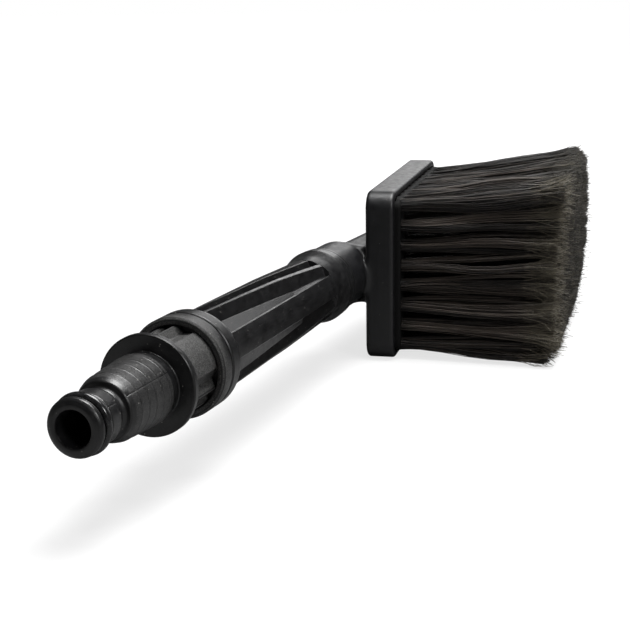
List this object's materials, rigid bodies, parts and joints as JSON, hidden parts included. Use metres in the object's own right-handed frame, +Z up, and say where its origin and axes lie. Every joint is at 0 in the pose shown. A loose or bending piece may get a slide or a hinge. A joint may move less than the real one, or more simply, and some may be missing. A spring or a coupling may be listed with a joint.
{
  "type": "flow-through wheel brush",
  "caption": "Hose-fed wash brush with a quick-connect nozzle, twist flow valve, fluted grip and rectangular head of soft flared bristles for cleaning wheels.",
  "frame": {"origin": "middle of the bounding box at its lowest plane, which is the side of the block and of the bristles that the brush lies on", "axes": "+X along the block from the hose end to the far end of the head, -Y the way the bristles point, +Z up across the width of the block with the brush lying on its side"},
  "size_m": [0.2962, 0.1218, 0.0679],
  "materials": {
    "handle_plastic": "satin moulded black plastic",
    "head_plastic": "smooth satin moulded black plastic",
    "plate_plastic": "matte moulded black plastic",
    "seal_rubber": "glossy black rubber",
    "clip_plastic": "natural acetal",
    "valve_plastic": "smooth natural acetal",
    "filament": "soft dark filaments with split, browned tips"
  },
  "bodies": {
    "brush": {"grip": "handle_plastic", "retaining_clip": "clip_plastic", "valve_seat": "valve_plastic", "spigot_o_ring": "seal_rubber", "head_body": "head_plastic", "tuft_plate": "plate_plastic", "bristle_row_01": "filament", "bristle_row_02": "filament", "bristle_row_03": "filament", "bristle_row_04": "filament", "bristle_row_05": "filament", "bristle_row_06": "filament", "bristle_row_07": "filament", "bristle_row_08": "filament", "bristle_row_09": "filament", "bristle_row_10": "filament", "bristle_row_11": "filament", "bristle_row_12": "filament"},
    "inlet": {"hose_connector": "handle_plastic", "nozzle_o_ring": "seal_rubber", "shaft_o_ring_front": "seal_rubber", "shaft_o_ring_rear": "seal_rubber", "valve_disc": "valve_plastic"}
  },
  "joints": [
    {"name": "flow_valve_turn", "type": "hinge", "parent": "brush", "child": "inlet", "pos_m": [-0.14732, 0.05144, 0.0315], "axis": [0.9921, -0.1253, 0], "range_deg": [0, 90]}
  ]
}
